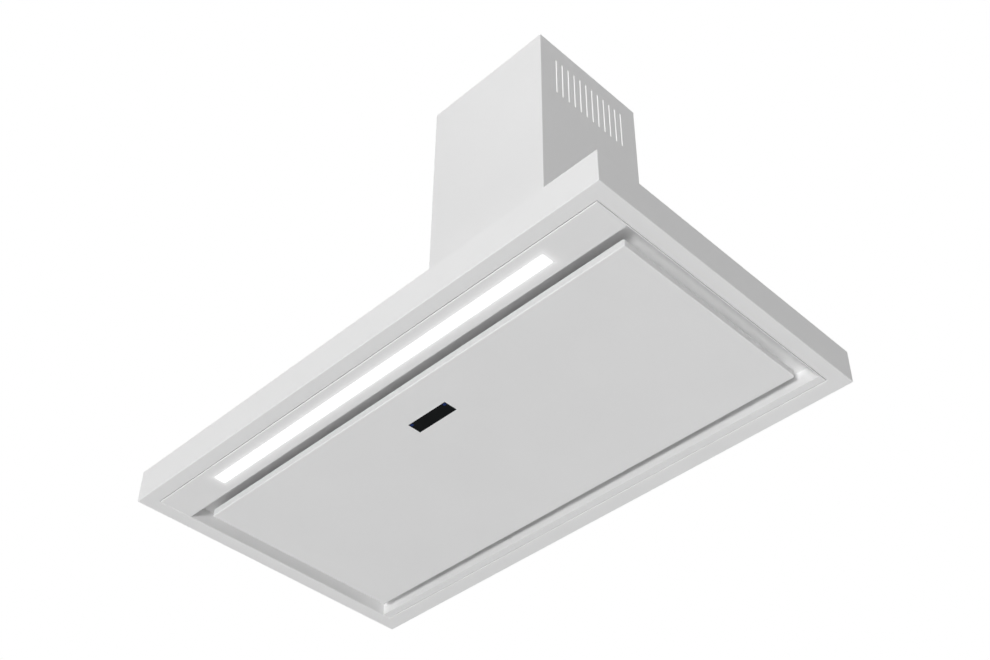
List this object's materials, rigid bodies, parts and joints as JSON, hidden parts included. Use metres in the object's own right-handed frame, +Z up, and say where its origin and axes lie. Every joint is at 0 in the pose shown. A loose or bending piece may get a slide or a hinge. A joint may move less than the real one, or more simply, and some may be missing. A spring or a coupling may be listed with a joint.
{
  "type": "wall mount range hood",
  "caption": "Slim wall mount range hood with a hinged perimeter suction panel, strip light, touch control, blower with duct collar and a telescopic chimney cover.",
  "frame": {"origin": "middle of the lower rear edge, where the canopy's underside meets the wall", "axes": "+X to the right as seen from the front, +Y into the wall, +Z up; the front faces -Y"},
  "size_m": [0.9, 0.5, 0.818],
  "materials": {
    "white_paint": "satin white powder coat",
    "tray_paint": "satin white powder coat",
    "panel_paint": "satin white powder coat",
    "galvanised": "zinc coated sheet",
    "aluminium": "satin anodised",
    "filter_mesh": "expanded mesh layers",
    "opal": "opal diffuser",
    "light_board": "white light board",
    "circuit": "green circuit board",
    "black_plastic": "moulded, fine grain",
    "grey_plastic": "moulded",
    "black_glass": "gloss black glass",
    "blue_mark": "lit blue mark",
    "steel": "zinc plated",
    "motor_can": "drawn steel can",
    "magnet": "sintered magnet",
    "winding": "copper winding on iron",
    "capacitor": "moulded case",
    "rubber": "black rubber"
  },
  "bodies": {
    "hood": {"canopy_shell": "white_paint", "lower_chimney": "white_paint", "filter_tray": "tray_paint", "blower_casing": "galvanised", "casing_lid": "galvanised", "mounting_plate": "galvanised", "chimney_bracket": "galvanised", "hinge_brackets": "galvanised", "motor_spider": "galvanised", "light_housing": "aluminium", "filter_frame_left": "aluminium", "filter_frame_right": "aluminium", "filter_mesh_left": "filter_mesh", "filter_mesh_right": "filter_mesh", "light_diffuser": "opal", "light_board": "light_board", "power_board": "circuit", "scroll_left": "black_plastic", "scroll_right": "black_plastic", "outlet_collar": "black_plastic", "cable_gland": "black_plastic", "latch_case_left": "black_plastic", "latch_case_right": "black_plastic", "electrics_box": "grey_plastic", "electrics_lid": "grey_plastic", "catch_holders": "grey_plastic", "terminal_block": "grey_plastic", "tray_standoffs": "steel", "tray_screws": "steel", "hinge_screws": "steel", "hinge_pins": "steel", "casing_screws": "steel", "lid_screws": "steel", "motor_screws": "steel", "collar_screws": "steel", "damper_pin": "steel", "motor_bearings": "steel", "latch_spring_left": "steel", "latch_spring_right": "steel", "motor_housing": "motor_can", "catch_magnets": "magnet", "motor_stator": "winding", "capacitor": "capacitor", "motor_bushes": "rubber"},
    "panel": {"panel_skin": "panel_paint", "panel_back_plate": "panel_paint", "panel_stiffeners": "galvanised", "panel_hinge_leaves": "galvanised", "control_glass": "black_glass", "control_housing": "black_plastic", "touch_board": "circuit", "control_marks": "blue_mark"},
    "fan_wheel": {"impeller": "black_plastic", "motor_shaft": "steel", "motor_rotor": "steel"},
    "flap_front": {"damper_flap_front": "black_plastic"},
    "flap_rear": {"damper_flap_rear": "black_plastic"},
    "chimney_cover": {"upper_chimney": "white_paint"},
    "latch_left": {"latch_bolt_left": "grey_plastic"},
    "latch_right": {"latch_bolt_right": "grey_plastic"}
  },
  "joints": [
    {"name": "panel_hinge", "type": "hinge", "parent": "hood", "child": "panel", "pos_m": [0, -0.0675, 0.015], "axis": [1, 0, 0], "range_deg": [0, 85]},
    {"name": "chimney_slide", "type": "slide", "parent": "hood", "child": "chimney_cover", "axis": [0, 0, 1], "range_m": [-0.26, 0.01]},
    {"name": "fan_spin", "type": "hinge", "parent": "hood", "child": "fan_wheel", "pos_m": [0, -0.112, 0.161], "axis": [1, 0, 0], "continuous": true},
    {"name": "flap_front_hinge", "type": "hinge", "parent": "hood", "child": "flap_front", "pos_m": [0, -0.147, 0.326], "axis": [-1, 0, 0], "range_deg": [0, 75]},
    {"name": "flap_rear_hinge", "type": "hinge", "parent": "hood", "child": "flap_rear", "pos_m": [0, -0.147, 0.326], "axis": [1, 0, 0], "range_deg": [0, 75]},
    {"name": "latch_left_slide", "type": "slide", "parent": "hood", "child": "latch_left", "axis": [0, 1, 0], "range_m": [0, 0.0055], "stiffness_N_per_m": 300, "springref_m": -0.004, "deforming": ["latch_spring_left"]},
    {"name": "latch_right_slide", "type": "slide", "parent": "hood", "child": "latch_right", "axis": [0, 1, 0], "range_m": [0, 0.0055], "stiffness_N_per_m": 300, "springref_m": -0.004, "deforming": ["latch_spring_right"]}
  ]
}
